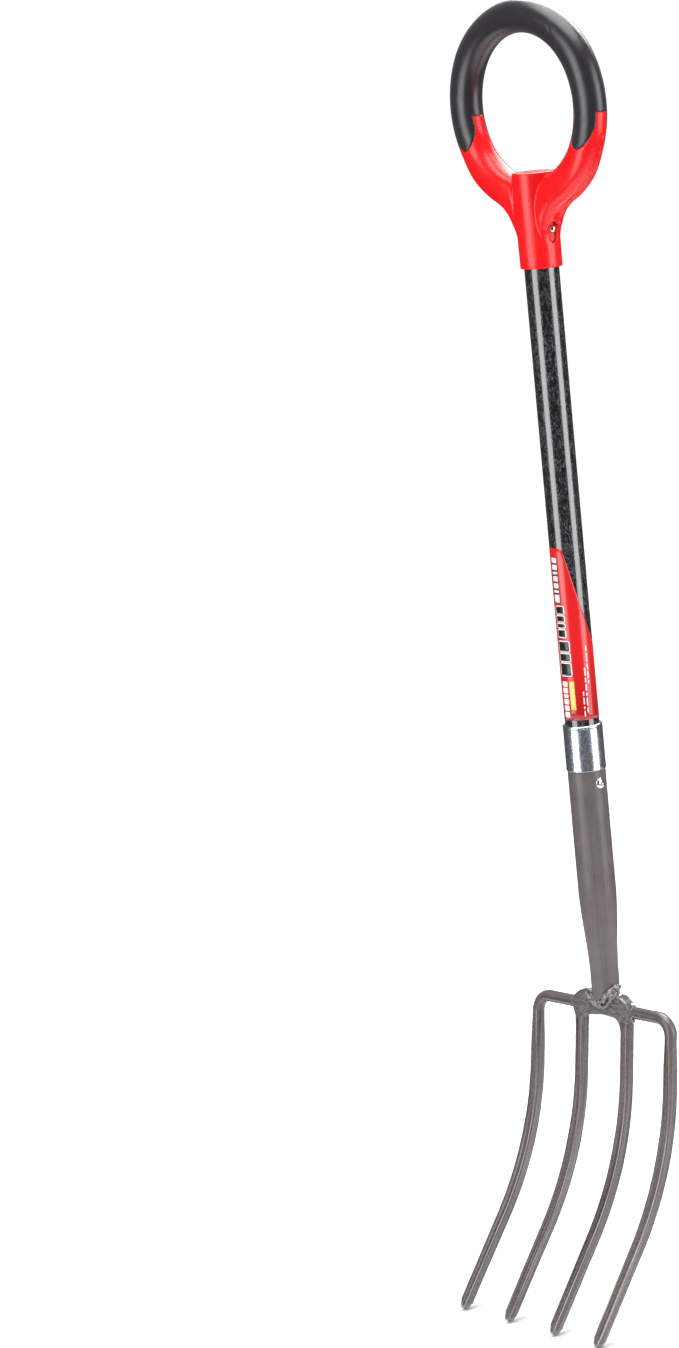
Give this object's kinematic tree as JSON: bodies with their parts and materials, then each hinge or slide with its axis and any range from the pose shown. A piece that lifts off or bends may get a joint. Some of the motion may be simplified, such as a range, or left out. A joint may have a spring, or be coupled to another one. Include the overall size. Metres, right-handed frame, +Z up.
{
  "type": "digging fork",
  "caption": "Four-tined garden digging fork: ring handle with soft grip on a straight composite shaft, riveted into a tapered steel socket welded to the tine bows.",
  "frame": {"origin": "centre of the ring handle, on the shaft's axis", "axes": "+Z up along the shaft towards the ring, +X along the crossbar, -Y is the side the tines curve to"},
  "size_m": [0.1756, 0.1398, 1.0926],
  "materials": {
    "red_plastic": "semi-gloss moulded",
    "soft_grip": "soft satin",
    "rivet_steel": "bright",
    "black_composite": "gloss over short fibres",
    "plug_plastic": "matt",
    "label_film": "gloss printed film",
    "plated_steel": "bright plated",
    "painted_steel": "satin paint",
    "weld_bead": "painted over rough bead"
  },
  "bodies": {
    "root": {"handle_core": "red_plastic", "grip_overmould": "soft_grip", "handle_rivet": "rivet_steel", "shaft_tube": "black_composite", "upper_core_plug": "plug_plastic", "lower_core_plug": "plug_plastic", "shaft_label": "label_film", "ferrule_collar": "plated_steel", "steel_socket": "painted_steel", "socket_rivet": "rivet_steel", "outer_tine_bow": "painted_steel", "inner_tine_bow": "painted_steel", "socket_weld_front": "weld_bead", "socket_weld_back": "weld_bead", "bow_weld_left": "weld_bead", "bow_weld_right": "weld_bead", "bow_weld_top": "weld_bead", "bow_weld_bottom": "weld_bead"}
  },
  "joints": []
}
